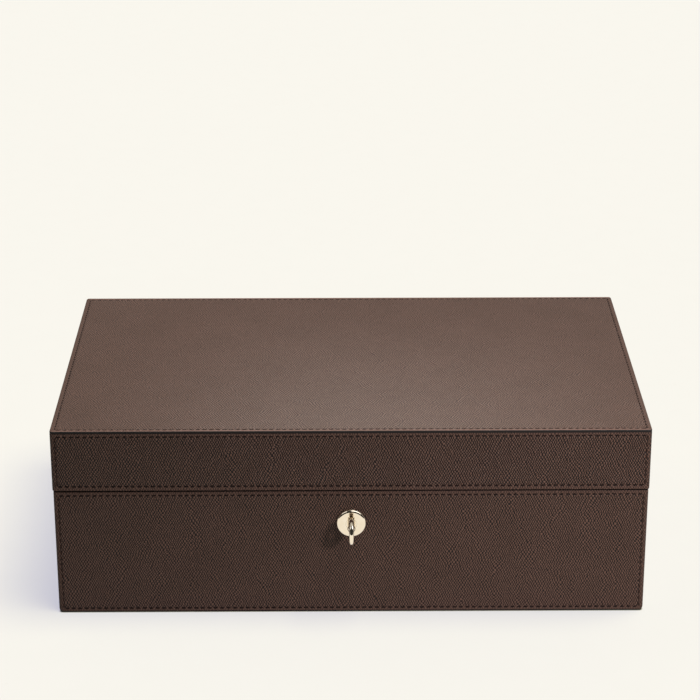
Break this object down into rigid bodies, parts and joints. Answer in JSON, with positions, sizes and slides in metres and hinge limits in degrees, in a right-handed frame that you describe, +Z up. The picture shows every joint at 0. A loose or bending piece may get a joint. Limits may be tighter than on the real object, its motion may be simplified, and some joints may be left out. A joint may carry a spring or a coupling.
{
  "type": "jewellery case",
  "caption": "Leather-covered rectangular jewellery case with a hinged lid, keyed lock on the front, suede lining, and a lift-out tray with compartments and ring rolls.",
  "frame": {"origin": "centre of the underside, on the surface the case stands on", "axes": "+Z up, +X to the right across the front, +Y from the locked front to the hinged back"},
  "size_m": [0.3, 0.2134, 0.101],
  "materials": {
    "cover_leather": "embossed cross grain, satin",
    "rim_leather": "smooth satin",
    "carcass_board": "bare fibreboard",
    "suede_lining": "napped suede on board",
    "suede_padding": "napped suede over foam",
    "underside_felt": "felt",
    "gilt_brass": "polished, pale gold plated",
    "lock_steel": "plain sheet"
  },
  "bodies": {
    "base": {"base_leather_front": "cover_leather", "base_leather_back": "cover_leather", "base_leather_left": "cover_leather", "base_leather_right": "cover_leather", "base_rim_leather": "rim_leather", "base_front_board": "carcass_board", "base_back_board": "carcass_board", "base_left_board": "carcass_board", "base_right_board": "carcass_board", "base_floor_board": "carcass_board", "base_floor_lining": "suede_lining", "base_lining_front": "suede_lining", "base_lining_back": "suede_lining", "base_lining_left": "suede_lining", "base_lining_right": "suede_lining", "tray_ledges": "suede_lining", "base_dividers": "suede_lining", "base_underside_pad": "underside_felt", "hinge_left_base_leaf": "gilt_brass", "hinge_right_base_leaf": "gilt_brass", "hinge_pins": "gilt_brass", "hinge_base_screws": "gilt_brass", "lock_selvedge": "gilt_brass", "lock_selvedge_screws": "gilt_brass", "lock_barrel": "gilt_brass", "lock_case": "lock_steel", "lock_cap": "lock_steel"},
    "lid": {"lid_leather_top": "cover_leather", "lid_leather_front": "cover_leather", "lid_leather_back": "cover_leather", "lid_leather_left": "cover_leather", "lid_leather_right": "cover_leather", "lid_rim_leather": "rim_leather", "lid_front_board": "carcass_board", "lid_back_board": "carcass_board", "lid_left_board": "carcass_board", "lid_right_board": "carcass_board", "lid_top_board": "carcass_board", "lid_lining_front": "suede_lining", "lid_lining_back": "suede_lining", "lid_lining_left": "suede_lining", "lid_lining_right": "suede_lining", "lid_pad": "suede_padding", "hinge_left_lid_leaf": "gilt_brass", "hinge_right_lid_leaf": "gilt_brass", "hinge_lid_screws": "gilt_brass", "lock_link_plate": "gilt_brass", "lock_link_screws": "gilt_brass"},
    "plug": {"lock_plug": "gilt_brass"},
    "key": {"key": "gilt_brass"},
    "bolt": {"lock_bolt": "lock_steel"},
    "tray": {"tray_base_board": "suede_lining", "tray_front_wall": "suede_lining", "tray_back_wall": "suede_lining", "tray_left_wall": "suede_lining", "tray_right_wall": "suede_lining", "tray_floor_lining": "suede_lining", "tray_dividers": "suede_lining", "ring_rolls": "suede_padding", "tray_pull_tabs": "rim_leather"}
  },
  "joints": [
    {"name": "lid_hinge", "type": "hinge", "parent": "base", "child": "lid", "pos_m": [0, 0.0974, 0.0682], "axis": [-1, 0, 0], "range_deg": [0, 95]},
    {"name": "key_turn", "type": "hinge", "parent": "base", "child": "plug", "pos_m": [0.00013, -0.09655, 0.0504], "axis": [0, 1, 0], "range_deg": [0, 90]},
    {"name": "bolt_throw", "type": "slide", "parent": "base", "child": "bolt", "axis": [1, 0, 0], "range_m": [0, 0.00495]},
    {"name": "key_withdraw", "type": "slide", "parent": "plug", "child": "key", "axis": [0, -1, 0], "range_m": [0, 0.015]},
    {"name": "tray_lift", "type": "slide", "parent": "base", "child": "tray", "axis": [0, 0, 1], "range_m": [0, 0.02]}
  ],
  "couplings": [
    {"joint": "key_turn", "follows": "bolt_throw", "rad_per_m": 317.32}
  ]
}
